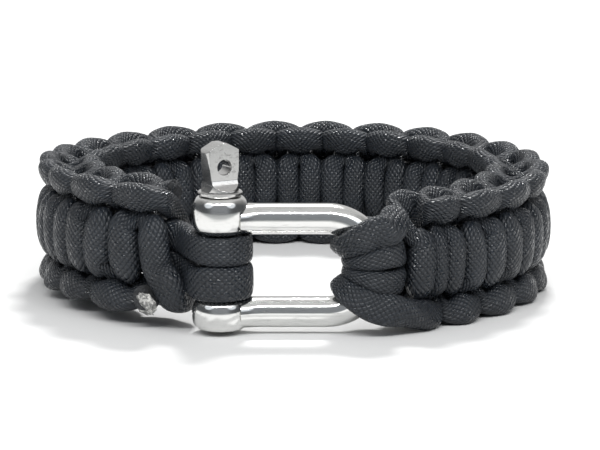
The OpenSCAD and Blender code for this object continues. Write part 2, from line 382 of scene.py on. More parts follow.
@dataclass(frozen=True)
class CordTube:
    """Sweeps a cord's rounded section along a route and cuts it into closed meshes.

    Args:
        sides: Points round the section.
        squareness: Exponent of the section, 2 for an ellipse.
        pulled: The same for the stretches that are pulled flat round the steel, by name.
        blend: Rings before and after a change over which the exponent runs from one to the other.
        wander: How far the cord strays from its drawn size, as a share.
        wander_step: Rings from one chance size to the next.
        seed: Seed of that unevenness.
        fluff: How far the yarns stand out of the drawn cord, in millimetres.
        rest: Height above the floor at which a cord that rests on it is pressed flat, in millimetres.
        cap_edge: Edges sharper than this many degrees stay crisp, as round the caps.
    """

    sides: int = 28
    squareness: float = 2.35
    pulled: dict[str, float] = field(
        default_factory=lambda: {"pin_hitch": 3.6, "lower_bow_hitch": 3.0, "upper_bow_hitch": 3.0})
    blend: int = 15
    wander: float = 0.05
    wander_step: int = 12
    seed: int = 3
    fluff: float = 0.13
    rest: float = 0.02
    cap_edge: float = 75.0

    def build(self, route: Route, spans: dict[str, tuple[int, int]]) -> dict[str, bpy.types.Object]:
        """Build the cord's pieces.

        Args:
            route: Where the whole cord runs.
            spans: First and last station of each piece, by name.

        Returns:
            The new objects by name, with a UV map of length in millimetres and turns round the cord.
        """
        place, facing, half, marks = route.sampled()
        along = unit(np.gradient(place, axis=0))
        side = unit(np.cross(along, facing))
        face = np.cross(side, along)
        half = half * (1 + self.wander * self._chance(len(place))) + self.fluff
        a = np.linspace(0, 2 * math.pi, self.sides, endpoint=False)
        c, s, e = np.cos(a), np.sin(a), 2 / self._exponents(len(place), marks, spans)
        across, out = np.sign(c) * np.abs(c) ** e, np.sign(s) * np.abs(s) ** e
        rings = (place[:, None] + side[:, None] * (half[:, :1] * across)[..., None]
                 + face[:, None] * (half[:, 1:] * out)[..., None])
        rings[..., 2] = np.maximum(rings[..., 2], self.rest)
        run = np.concatenate([[0], np.cumsum(np.linalg.norm(np.diff(place, axis=0), axis=1))])
        log.info("cord: %.0f mm long", run[-1])
        steps = np.linalg.norm(np.roll(rings, -1, axis=1) - rings, axis=2)
        spread = (np.cumsum(steps, axis=1) - steps) / steps.sum(axis=1, keepdims=True)
        turns = self._twist(along, side) + spread
        pieces = {}
        for name, (first, last) in spans.items():
            cut = slice(marks[first], marks[last] + 1)
            pieces[name] = self._mesh(f"cord_{name}", rings[cut] * MM, run[cut], turns[cut])
        return pieces

    def _exponents(self, count: int, marks: list[int], spans: dict[str, tuple[int, int]]) -> np.ndarray:
        """Return the section's exponent at each ring.

        Args:
            count: Number of rings.
            marks: The ring at each station.
            spans: First and last station of each piece, by name.

        Returns:
            The exponents as (count, 1).
        """
        power = np.full(count, self.squareness)
        for name, squareness in self.pulled.items():
            first, last = spans[name]
            power[marks[first]:marks[last]] = squareness
        window = 2 * self.blend + 1
        return np.convolve(np.pad(power, self.blend, "edge"), np.ones(window) / window, "valid")[:, None]

    def _chance(self, count: int) -> np.ndarray:
        """Draw slow chance values for the cord's unevenness.

        Args:
            count: Number of rings.

        Returns:
            Values between -1 and 1 for the two half sizes, as (count, 2).
        """
        rng = np.random.default_rng(self.seed)
        knots = rng.uniform(-1, 1, (count // self.wander_step + 4, 2))
        x = np.linspace(0, len(knots) - 1, count)
        return np.stack([np.interp(x, np.arange(len(knots)), knots[:, i]) for i in range(2)], axis=1)

    @staticmethod
    def _twist(along: np.ndarray, side: np.ndarray) -> np.ndarray:
        """Work out how far each ring is turned against an untwisted cord.

        Args:
            along: The cord's direction at each ring.
            side: The direction across its width.

        Returns:
            Turns as (rings, 1).
        """
        turned = np.zeros(len(along))
        for i in range(1, len(along)):
            carried = side[i - 1] - along[i] * np.dot(side[i - 1], along[i])
            turned[i] = turned[i - 1] + math.atan2(np.dot(side[i], np.cross(along[i], carried)),
                                                   np.dot(side[i], carried))
        return (turned / (2 * math.pi))[:, None]

    def _mesh(self, name: str, rings: np.ndarray, run: np.ndarray, turns: np.ndarray) -> bpy.types.Object:
        """Join the rings into a closed tube.

        Args:
            name: Name of the piece.
            rings: Points as (rings, sides, 3), in metres.
            run: Length along the cord at each ring.
            turns: Place round the cord of each point, in turns.

        Returns:
            The new object.
        """
        count, sides = rings.shape[:2]
        i, k = np.meshgrid(np.arange(count - 1), np.arange(sides), indexing="ij")
        nxt = (k + 1) % sides
        quads = np.stack([i * sides + k, i * sides + nxt, (i + 1) * sides + nxt, (i + 1) * sides + k], -1)
        wrap = (nxt == 0).astype(float)
        u = np.stack([run[i], run[i], run[i + 1], run[i + 1]], -1)
        v = np.stack([turns[i, k], turns[i, nxt] + wrap, turns[i + 1, nxt] + wrap, turns[i + 1, k]], -1)
        mesh = bpy.data.meshes.new(name)
        mesh.from_pydata(rings.reshape(-1, 3).tolist(), [], quads.reshape(-1, 4).tolist()
                         + [list(range(sides - 1, -1, -1)), list(range((count - 1) * sides, count * sides))])
        layer = mesh.uv_layers.new(name=UV_NAME)
        uv = np.concatenate([np.stack([u, v], -1).reshape(-1, 2), np.zeros((2 * sides, 2))])
        layer.data.foreach_set("uv", uv.astype(np.float32).ravel())
        mesh.shade_smooth()
        for cap in mesh.polygons[-2:]:
            cap.material_index = 1
        mesh.update()
        piece = new_object(name, mesh)
        fix_normals(piece)
        mesh.set_sharp_from_angle(angle=math.radians(self.cap_edge))
        return piece


def fix_normals(piece: bpy.types.Object) -> None:
    """Point a closed mesh's faces outwards.

    Args:
        piece: The object whose mesh it is.
    """
    bm = bmesh.new()
    bm.from_mesh(piece.data)
    bmesh.ops.recalc_face_normals(bm, faces=bm.faces)
    bm.to_mesh(piece.data)
    bm.free()


@dataclass(frozen=True)
class Weave:
    """The square knots: two working strands round two core strands.

    Args:
        band: The band that they make.
        half_row: A strand's way from the middle of a face to its bend.
        bend_depth: Depth of a bend's middle, as a share of the crossing's.
        bend_turn: Degrees that a bend's flat side is turned from the band's face to its edge.
    """

    band: Band
    half_row: tuple = table(
        RowStep, (0, 0.42, 1, 5, 0.46, 0.5), (-0.2, 0.57, 0.7, 42, 0.32, 0.32),
        (-0.27, 0.785, 0.03, 82, 0.22, 0.55), (-0.23, 1, -0.8, 100, 0.28, 0.5))
    bend_depth: float = 1.0
    bend_turn: float = 115.0

    def way(self, k: int, up: Side) -> int:
        """Return 1 if the strand runs up in row k, and -1 if it runs down."""
        return -up if k % 2 == 0 else up

    def half_station(self, k: int, step: RowStep, half: Half, up: Side, face: Face, skew: float = 0) -> Station:
        """Return one station of a half row.

        Args:
            k: Row number.
            step: A line of half_row.
            half: The half of the row.
            up: The way that the strand runs in odd rows.
            face: The face that it crosses.
            skew: Rows added to its place.

        Returns:
            The station.
        """
        b = self.band
        u = k + half * step.rows + skew
        edge = half * self.way(k, up)
        t = face * step.depth * b.cross_r
        return Station(b.spot(u, edge * step.height * b.bend_z, t), b.facing(u, face, edge, step.turn),
                       step.half_w * b.row_width(k, t), step.half_t * b.cross_t)

    def bend(self, u: float, edge: int, face: Face) -> Station:
        """Return the station in the middle of a bend."""
        b = self.band
        return Station(b.spot(u, edge * b.bend_z, -face * self.bend_depth * b.cross_r),
                       b.facing(u, face, edge, self.bend_turn), b.bend_t / 2, b.bend_w / 2)

    def begin_row(self, k: int, up: Side, face: Face) -> list[Station]:
        """Return the stations from a bend to the middle of row k."""
        return [self.half_station(k, step, Half.BEGIN, up, face) for step in self.half_row[::-1]]

    def end_row(self, k: int, up: Side, face: Face, skew: float = 0) -> list[Station]:
        """Return the stations from the middle of row k to its bend, drawn aside by skew."""
        return [self.half_station(k, step, Half.END, up, face, skew * i) for i, step in enumerate(self.half_row)]

    def rows(self, first: int, last: int, up: Side, face: Face) -> list[Station]:
        """Return a working strand's stations in whole rows.

        Args:
            first: The first row.
            last: The last row.
            up: The way that the strand runs in odd rows.
            face: The face that it crosses.

        Returns:
            The stations in order.
        """
        found: list[Station] = []
        for k in range(first, last + 1):
            found += self.begin_row(k, up, face) + self.end_row(k, up, face)
            if k < last:
                found.append(self.bend(k + 0.5, self.way(k, up), face))
        return found


@dataclass(frozen=True)
class Fittings:
    """Where the shackle stands, and how the cord's turns lie on it, in millimetres and degrees.

    Args:
        band: The band that the shackle closes.
        wire_d: Diameter of the bow's wire.
        jaw: Opening between the eyes.
        arm_l: Length of an arm from the pin to the bow's arc.
        pin_left: Distance of the pin from the middle to the left.
        pin_d: Diameter of the pin.
        pin_clear: Clearance of the pin in its bores.
        rise: Height of the shackle's middle over the band's.
        core_first: Row where the core strands begin.
        core_past: Rows past the last one where they end.
        lead_drop: How far the way to the pin drops, as a share of the band's lift.
        bow_lead: From a core strand to its bow hitch.
        pin_lead: From a core strand to the pin hitch.
        hitch_in: A bow hitch's way in, round the wire.
        hitch_out: Its way out, round the wire.
        bow_back: The turn behind the bow.
        bow_slant: The slanting stretch before the bow.
        slant_face: The way that the slanting stretch faces.
        pin_split: Where the two halves of the pin's hitch meet, above the jaw's middle.
        pin_half: Half of that hitch.
        pin_cross: The cross strand behind the pin.
        cross_face: The way that the cross strand faces.
        cross_w: Half its width, in core widths.
        outer_start: The outer strand's first turn.
        outer_finish: Its turn into the last row, with rows counted past that one.
    """

    band: Band
    wire_d: float = 5.1
    jaw: float = 10.5
    arm_l: float = 17.5
    pin_left: float = 11.9
    pin_d: float = 5.0
    pin_clear: float = 0.08
    rise: float = 0.2
    core_first: float = 1.4
    core_past: float = 0.4
    lead_drop: float = 0.3
    bow_lead: LeadStep = LeadStep(1.05, 0, 0.08, 0.96, 0.72)
    pin_lead: LeadStep = LeadStep(45.85, 0.04, 0.14, 1, 0.8)
    hitch_in: tuple = table(
        WireStep, (11.5, -25, 0.48), (11.7, 15, 0.48), (12.6, 55, 0.41), (12.5, 90, 0.34), (13, 135, 0.23),
        (13.5, 180, 0.2), (13, 225, 0.23), (12.5, 270, 0.32))
    hitch_out: tuple = table(
        WireStep, (43, 270, 0.34), (49, 225, 0.36), (53, 180, 0.37), (50, 135, 0.42), (43, 98, 0.5))
    bow_back: tuple = table(BowStep, (1, 0.29, 1.01, 0.3), (1.09, 0.51, 1.06, 0.3), (0.95, 0.72, 1.06, 0.32))
    bow_slant: tuple = table(BowStep, (0.97, 0.77, -0.98, 0.56), (1.31, 0.87, -0.85, 0.57))
    slant_face: tuple = (0.25, -1, 0)
    pin_split: float = 0.6
    pin_half: tuple = table(
        PinStep, (-60, 0.1, 0.92), (-28, 0.02, 0.99), (10, 0, 1), (50, 0, 1), (90, 0, 1), (135, -0.05, 0.9),
        (175, -0.15, 0.75))
    pin_cross: tuple = table(CrossStep, (0.56, 1.1, 0.46), (0.8, 1.27, 0))
    cross_face: tuple = (-0.5, 0.87, 0)
    cross_w: float = 0.33
    outer_start: tuple = table(
        RowStep, (0.2, 1, 1.1, 65, 0.45, 0.36), (0.42, 0.88, 0.05, 90, 0.24, 0.48),
        (0.56, 0.7, -0.6, 48, 0.34, 0.36), (0.7, 0.4, -1, 5, 0.42, 0.5), (0.92, -0.4, -1, 5, 0.42, 0.5),
        (1.06, -0.8, -0.7, 50, 0.35, 0.4))
    outer_finish: tuple = table(
        RowStep, (0.08, -1, -1, 105, 0.36, 0.6), (0.58, -1, -0.62, 95, 0.4, 0.56), (0.76, -1, 0.1, 90, 0.44, 0.54),
        (0.76, -0.93, 0.85, 55, 0.54, 0.52), (0.6, -0.6, 1.1, 15, 0.62, 0.5), (0.25, -0.3, 1.1, 5, 0.58, 0.5))

    @property
    def middle_z(self) -> float:
        """Return the height of the shackle's middle."""
        return self.band.mid_z + self.rise

    @property
    def bow_r(self) -> float:
        """Return the radius of the bow's middle line."""
        return (self.jaw + self.wire_d) / 2

    @property
    def bow_x(self) -> float:
        """Return where the bow's arc is centred."""
        return self.arm_l - self.pin_left

    @property
    def turn_r(self) -> float:
        """Return the distance of a cord's middle from the wire that it turns round."""
        return self.wire_d / 2 + 2 * self.band.gap + self.band.flat_t / 2

    @property
    def pin_turn_r(self) -> float:
        """Return the distance of a cord's middle from the pin's."""
        return self.pin_d / 2 + self.pin_clear + 2 * self.band.gap + self.band.flat_t / 2

    @property
    def core_last(self) -> float:
        """Return the row where the core strands end."""
        return self.band.rows + self.core_past

    def core_station(self, u: float, side: Side) -> Station:
        """Return a core strand's station at row u."""
        b = self.band
        return Station(b.spot(u, side * b.core_z, 0), b.outward(u), b.core_w / 2, b.core_t / 2)

    def lead(self, side: Side, s: LeadStep, drop: float = 0) -> Station:
        """Return a station between a core strand's end and its hitch.

        Args:
            side: The core strand's half of the band.
            s: bow_lead or pin_lead.
            drop: How far it is lowered, in millimetres.

        Returns:
            The station.
        """
        b = self.band
        return Station(b.spot(s.row, side * (b.core_z + s.height * b.core_w) - drop, s.depth * b.core_t),
                       b.outward(s.row), s.wide * b.core_w / 2, s.thick * b.core_t / 2)

    def on_bow(self, side: Side, s: WireStep) -> Station:
        """Return a station of a turn round the bow's wire.

        Args:
            side: The arm's half of the shackle.
            s: A line of hitch_in or hitch_out.

        Returns:
            The station.
        """
        b, a, w = self.band, math.radians(s.arc), math.radians(s.wire)
        r = self.bow_r + self.turn_r * math.cos(w)
        return Station(
            vec(self.bow_x + r * math.cos(a), -b.ring_r - self.turn_r * math.sin(w),
                self.middle_z + side * r * math.sin(a)),
            vec(math.cos(a) * math.cos(w), -math.sin(w), side * math.sin(a) * math.cos(w)),
            s.half_w * b.core_w, b.flat_t / 2)

    def by_bow(self, side: Side, s: BowStep, facing: np.ndarray) -> Station:
        """Return a station that passes behind or before the bow.

        Args:
            side: The arm's half of the shackle.
            s: A line of bow_back or bow_slant.
            facing: The way that the cord's flat side faces.

        Returns:
            The station.
        """
        b = self.band
        return Station(vec(self.bow_x + s.right * self.bow_r, -b.ring_r + s.depth * self.turn_r,
                           self.middle_z + side * s.height * self.bow_r), facing, s.half_w * b.core_w, b.flat_t / 2)

    def slant(self, side: Side, s: BowStep) -> Station:
        """Return a station of the slanting stretch before the bow."""
        return self.by_bow(side, s, vec(*self.slant_face))

    def slant_end(self, side: Side) -> Station:
        """Return the station where a bow hitch turns into a working strand."""
        return self.slant(side, self.bow_slant[-1])

    def bow_hitch(self, side: Side) -> list[Station]:
        """Return the cow hitch of one core strand on the bow."""
        return ([self.core_station(self.core_first, side), self.lead(side, self.bow_lead)]
                + [self.on_bow(side, s) for s in self.hitch_in]
                + [self.by_bow(side, s, vec(0, 1, 0)) for s in self.bow_back]
                + [self.on_bow(side, s) for s in self.hitch_out]
                + [self.slant(side, s) for s in self.bow_slant])

    def on_pin(self, side: Side, s: PinStep) -> Station:
        """Return a station of a turn round the pin.

        Args:
            side: The half of the hitch.
            s: A line of pin_half.

        Returns:
            The station.
        """
        b, a = self.band, math.radians(s.angle)
        middle = (self.pin_split + side * self.jaw / 2) / 2
        half = self.jaw / 4 - side * self.pin_split / 2 - b.gap / 2
        return Station(vec(-self.pin_left + self.pin_turn_r * math.sin(a), -b.ring_r - self.pin_turn_r * math.cos(a),
                           self.middle_z + middle + side * s.rise * half),
                       vec(math.sin(a), -math.cos(a), 0), s.half_w * half, b.flat_t / 2)

    def behind_pin(self, side: Side, s: CrossStep) -> Station:
        """Return a station of the cross strand behind the pin.

        Args:
            side: The half of the hitch.
            s: A line of pin_cross.

        Returns:
            The station.
        """
        b = self.band
        return Station(vec(-self.pin_left - s.left * self.pin_turn_r, -b.ring_r + s.behind * self.pin_turn_r,
                           self.middle_z + side * s.height * self.pin_turn_r),
                       vec(*self.cross_face), self.cross_w * b.core_w, b.flat_t / 2)

    def half_hitch(self, side: Side) -> list[Station]:
        """Return the half of the pin's hitch on one side, from its core strand to behind the pin."""
        return ([self.core_station(self.core_last, side),
                 self.lead(side, self.pin_lead, self.lead_drop * self.band.end_lift)]
                + [self.on_pin(side, s) for s in self.pin_half] + [self.behind_pin(side, self.pin_cross[0])])

    def pin_hitch(self) -> list[Station]:
        """Return the cow hitch round the pin, from the upper core strand to the lower one."""
        return (self.half_hitch(Side.UPPER) + [self.behind_pin(Side.UPPER, self.pin_cross[1])]
                + self.half_hitch(Side.LOWER)[::-1])

    def edge_station(self, s: RowStep, first: float = 0) -> Station:
        """Return a station of the outer strand's first or last turn.

        Args:
            s: A line of outer_start or outer_finish.
            first: The row from which its rows are counted.

        Returns:
            The station.
        """
        b = self.band
        face = Face.INNER if s.depth < 0 else Face.OUTER
        return Station(b.spot(first + s.rows, s.height * b.bend_z, s.depth * b.cross_r),
                       b.facing(first + s.rows, face, math.copysign(1, s.height), s.turn),
                       s.half_w * b.core_w, s.half_t * b.cross_t)


@dataclass
class CordWork:
    """Everything made of cord: the strands, the hitches and the melted ends.

    Args:
        fittings: The shackle's places.
        tube: How a cord is swept.
        finish: The braided cord's material.
        pale: Material of the lower melted end.
        singed: Material of the upper one and of the cuts, which are burnt dark.
        end_skew: Rows by which each step of the last half row is drawn aside.
        end_shrink: Size of the outer strand's cut end, as a share of a bend's.
        outer_bend: Rows from the outer strand's last bend to the last row.
        inner_bend: Rows from the inner strand's last bend to the last row.
        outer_back: Rows from the outer strand's cut end to the last row.
        inner_back: Rows from the inner strand's cut end to the last row.
        inner_drop: Height of the inner strand's cut end, as a share of the lower bend's.
        inner_depth: Its depth, as a share of the crossing's.
        inner_size: Half its width and thickness, in widths of a bend.
        melt_shift: How far the lower melted end stands out of its cut, and how far it sags.
        melt_tilt: How far it points down for each unit that it points outwards.
        weave: The weave of the band, which is set up from the fittings.
    """

    fittings: Fittings
    tube: CordTube
    finish: bpy.types.Material
    pale: bpy.types.Material
    singed: bpy.types.Material
    end_skew: float = -0.04
    end_shrink: float = 0.85
    outer_bend: float = 0.45
    inner_bend: float = 0.5
    outer_back: float = 0.15
    inner_back: float = 0.08
    inner_drop: float = 0.9
    inner_depth: float = 1.3
    inner_size: float = 0.4
    melt_shift: tuple = (0.3, 0.9)
    melt_tilt: float = 0.35
    weave: Weave = field(init=False)

    def __post_init__(self) -> None:
        """Set up the weave of the band."""
        self.weave = Weave(self.fittings.band)

    def outer_route(self) -> list[Station]:
        """Return the outer strand's stations."""
        f, w, last = self.fittings, self.weave, self.fittings.band.rows
        return ([f.slant_end(Side.UPPER)] + [f.edge_station(s) for s in f.outer_start]
                + w.rows(1, last - 1, Side.UPPER, Face.OUTER)
                + [w.bend(last - self.outer_bend, Side.LOWER, Face.OUTER)]
                + [f.edge_station(s, last) for s in f.outer_finish]
                + w.end_row(last, Side.UPPER, Face.OUTER, self.end_skew) + [self.outer_end()])

    def outer_end(self) -> Station:
        """Return the outer strand's cut end, behind the upper edge."""
        s = self.weave.bend(self.fittings.band.rows - self.outer_back, Side.UPPER, Face.OUTER)
        return Station(s.place, s.facing, s.half_w * self.end_shrink, s.half_t * self.end_shrink)

    def inner_route(self) -> list[Station]:
        """Return the inner strand's stations."""
        f, w, last = self.fittings, self.weave, self.fittings.band.rows
        return ([f.slant_end(Side.LOWER), w.bend(f.core_first, Side.LOWER, Face.INNER)]
                + w.rows(2, last - 1, Side.LOWER, Face.INNER)
                + [w.bend(last - self.inner_bend, Side.UPPER, Face.INNER)]
                + w.begin_row(last, Side.LOWER, Face.INNER)
                + w.end_row(last, Side.LOWER, Face.INNER, self.end_skew) + [self.inner_end()])

    def inner_end(self) -> Station:
        """Return the inner strand's cut end, which faces the front in the lower corner."""
        b = self.fittings.band
        return Station(b.spot(b.rows - self.inner_back, -self.inner_drop * b.bend_z, self.inner_depth * b.cross_r),
                       vec(0, 0, -1), self.inner_size * b.bend_w, self.inner_size * b.bend_w)

    def core_route(self, side: Side) -> list[Station]:
        """Return one core strand's stations."""
        f = self.fittings
        return [f.core_station(u, side) for u in (f.core_first, *range(2, f.band.rows + 1), f.core_last)]

    def whole(self) -> tuple[Route, dict[str, tuple[int, int]]]:
        """Join all the stretches into the one cord that they are.

        Returns:
            Its route from cut to cut, and the first and last station of each stretch.
        """
        f = self.fittings
        stretches = {
            "outer_strand": self.outer_route()[::-1], "upper_bow_hitch": f.bow_hitch(Side.UPPER)[::-1],
            "upper_core": self.core_route(Side.UPPER), "pin_hitch": f.pin_hitch(),
            "lower_core": self.core_route(Side.LOWER)[::-1], "lower_bow_hitch": f.bow_hitch(Side.LOWER),
            "inner_strand": self.inner_route(),
        }
        stations: list[Station] = []
        spans = {}
        for node, stretch in stretches.items():
            first = max(0, len(stations) - 1)
            stations += stretch[1:] if stations else stretch
            spans[node] = (first, len(stations) - 1)
        return Route(tuple(stations)), spans

    def build(self) -> list[bpy.types.Object]:
        """Build and dress every piece of cord.

        Returns:
            The new objects.
        """
        pieces = self.tube.build(*self.whole())
        for node, piece in pieces.items():
            for finish in (self.finish, self.singed):
                piece.data.materials.append(finish)
            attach(piece, "bracelet")
            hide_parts(node)
        return list(pieces.values())

    def build_ends(self) -> list[bpy.types.Object]:
        """Build the two melted ends.

        Returns:
            The new objects.
        """
        b = self.fittings.band
        a = math.radians(b.row_angle(b.rows - self.outer_back))
        low, up = self.inner_end().place, self.outer_end().place
        out = unit(b.outward(b.rows) + vec(0, 0, -self.melt_tilt))
        stand, sag = self.melt_shift
        return [MeltedEnd().build("lower_melt", low + stand * out + vec(0, 0, -sag), out, self.pale, "lower_cut_end"),
                MeltedEnd().build("upper_melt", up, -vec(math.cos(a), math.sin(a), 0), self.singed,
                                  "upper_cut_end")]


class Sheet:
    """Adds shader nodes to a tree and joins their sockets."""

    def __init__(self, tree: bpy.types.NodeTree) -> None:
        """Take the tree to work in."""
        self.tree = tree

    def put(self, kind: str, inputs: dict | None = None, **settings: object) -> bpy.types.Node:
        """Add a node.

        Args:
            kind: Its type's name without the leading "ShaderNode", or a group's tree.
            inputs: Sockets or constants for its inputs, by name or number.
            settings: Attributes of the node.

        Returns:
            The new node.
        """
        node = self.tree.nodes.new("ShaderNode" + kind if not kind.startswith("Node") else kind)
        for name, value in settings.items():
            setattr(node, name, value)
        for key, value in (inputs or {}).items():
            self.join(value, node.inputs[key])
        return node

    def join(self, value: object, socket: bpy.types.NodeSocket) -> None:
        """Link a socket to an input, or set the input to a constant."""
        if isinstance(value, bpy.types.NodeSocket):
            self.tree.links.new(value, socket)
        else:
            socket.default_value = value

    def math(self, operation: str, *values: object) -> bpy.types.NodeSocket:
        """Return the result of a Math node on one to three values."""
        return self.put("Math", dict(enumerate(values)), operation=operation).outputs[0]

    def ramp(self, value: object, low: float, high: float, to_low: float = 0, to_high: float = 1
             ) -> bpy.types.NodeSocket:
        """Return a value mapped from one range to another, smoothly and clamped."""
        return self.put("MapRange", {0: value, 1: low, 2: high, 3: to_low, 4: to_high},
                        interpolation_type="SMOOTHSTEP").outputs[0]

    def tint(self, share: object, a: object, b: object) -> bpy.types.NodeSocket:
        """Mix two colours.

        Args:
            share: Share of the second one.
            a: The first colour.
            b: The second colour.

        Returns:
            The mixed colour.
        """
        node = self.put("Mix", data_type="RGBA")
        for value, name in ((share, "Factor_Float"), (a, "A_Color"), (b, "B_Color")):
            self.join(value, next(s for s in node.inputs if s.identifier == name))
        return next(s for s in node.outputs if s.identifier == "Result_Color")

    def noise(self, place: object, scale: float, detail: float = 2, rough: float = 0.5) -> bpy.types.NodeSocket:
        """Return smooth noise at a place."""
        return self.put("TexNoise", {"Vector": place, "Scale": scale, "Detail": detail, "Roughness": rough},
                        noise_dimensions="3D").outputs[0]

    def weigh(self, values: tuple, shares: tuple) -> bpy.types.NodeSocket:
        """Add up values by their shares.

        Args:
            values: The values.
            shares: What each is multiplied by.

        Returns:
            The sum.
        """
        total, *rest = [self.math("MULTIPLY", value, share) for value, share in zip(values, shares)]
        for part in rest:
            total = self.math("ADD", total, part)
        return total

    def bump(self, height: object, strength: float, depth: float) -> bpy.types.NodeSocket:
        """Return a surface's direction bent by a height whose full depth is in millimetres."""
        return self.put("Bump", {"Height": height, "Strength": strength, "Distance": depth * MM}).outputs[0]


def new_material(name: str) -> tuple[bpy.types.Material, Sheet, bpy.types.Node]:
    """Start a material.

    Args:
        name: Its name.

    Returns:
        The material, its sheet and its shader.
    """
    mat = bpy.data.materials.new(name)
    mat.use_nodes = True
    return mat, Sheet(mat.node_tree), mat.node_tree.nodes["Principled BSDF"]


def new_group(name: str, inputs: dict[str, str], outputs: dict[str, str]
              ) -> tuple[bpy.types.NodeTree, Sheet, dict, dict]:
    """Start a shader node group with named sockets.

    Args:
        name: Name of the group.
        inputs: Socket types of its inputs by name.
        outputs: Socket types of its outputs by name.

    Returns:
        The tree, its sheet, its input sockets and its output sockets, each by name.
    """
    tree = bpy.data.node_groups.new(name, "ShaderNodeTree")
    for direction, sockets in (("INPUT", inputs), ("OUTPUT", outputs)):
        for label, kind in sockets.items():
            tree.interface.new_socket(label, in_out=direction, socket_type="NodeSocket" + kind)
    sheet = Sheet(tree)
    entry, leave = sheet.put("NodeGroupInput"), sheet.put("NodeGroupOutput")
    return tree, sheet, {s.name: s for s in entry.outputs if s.name}, {s.name: s for s in leave.inputs if s.name}


def braid_group(arch: float = 3.6, dip: float = 2.6, gap: tuple = (0.45, 0.1)) -> bpy.types.NodeTree:
    """Make the group that works out a plain braid from the way along and round a cord.

    Args:
        arch: How steeply a stitch falls off to its sides.
        dip: How steeply it dips under the next ones at its ends.
        gap: Heights at which a gap begins and is full.

    Returns:
        The group, with a height, a tone of its own for each stitch and the depth of its gaps.
    """
    tree, s, given, out = new_group("braid", {"Way": "Vector", "Yarns": "Float", "Stitch": "Float"},
                                    {"Height": "Float", "Tone": "Float", "Gap": "Float"})
    split = s.put("SeparateXYZ", {0: given["Way"]})
    along = s.math("DIVIDE", split.outputs[0], given["Stitch"])
    turned = s.math("MULTIPLY", split.outputs[1], given["Yarns"])
    right, left = s.math("ADD", along, turned), s.math("SUBTRACT", along, turned)
    cell_r, cell_l = s.math("FLOOR", right), s.math("FLOOR", left)
    swap = s.math("FLOORED_MODULO", s.math("ADD", cell_r, cell_l), 2.0)
    keep = s.math("SUBTRACT", 1.0, swap)
    off_r, off_l = (s.math("ABSOLUTE", s.math("SUBTRACT", s.math("SUBTRACT", way, cell), 0.5))
                    for way, cell in ((right, cell_r), (left, cell_l)))
    across, length = (s.math("ADD", s.math("MULTIPLY", a, keep), s.math("MULTIPLY", b, swap))
                      for a, b in ((off_r, off_l), (off_l, off_r)))
    sides, ends = (s.math("SUBTRACT", 1.0, s.math("MULTIPLY", s.math("MULTIPLY", off, off), steep))
                   for off, steep in ((across, arch), (length, dip)))
    height = s.math("MULTIPLY", s.math("SQRT", sides), ends)
    cell = s.put("CombineXYZ", {0: cell_r, 1: cell_l})
    tone = s.put("TexWhiteNoise", {0: cell.outputs[0]}, noise_dimensions="3D").outputs[0]
    s.join(height, out["Height"])
    s.join(tone, out["Tone"])
    s.join(s.ramp(height, *gap), out["Gap"])
    return tree


def wear_group(stretch: float = 0.16, patches: float = 260.0, depth: float = 0.4,
               line_span: tuple = (0.45, 0.75), patch_span: tuple = (0.35, 0.7)) -> bpy.types.NodeTree:
    """Make the group of fine marks on polished steel.

    Args:
        stretch: How far the marks are drawn out, as a share of their width.
        patches: Scale of the patches that they come in.
        depth: Share of the marks in the height.
        line_span: Values of the drawn-out pattern at which a mark begins and is full.
        patch_span: The same for the patches.

    Returns:
        The group, with a mask of marks and a height.
    """
    tree, s, given, out = new_group("steel_marks", {"Place": "Vector", "Scale": "Float"},
                                    {"Marks": "Float", "Height": "Float"})
    spread = s.put("Mapping", {0: given["Place"], 3: (stretch, 1.0, 1.0)}, vector_type="POINT")
    lines = s.noise(spread.outputs[0], given["Scale"], 3)
    blotch = s.noise(given["Place"], patches, 3, 0.6)
    s.join(s.math("MULTIPLY", s.ramp(lines, *line_span), s.ramp(blotch, *patch_span)), out["Marks"])
    s.join(s.math("ADD", s.math("MULTIPLY", lines, depth), blotch), out["Height"])
    return tree


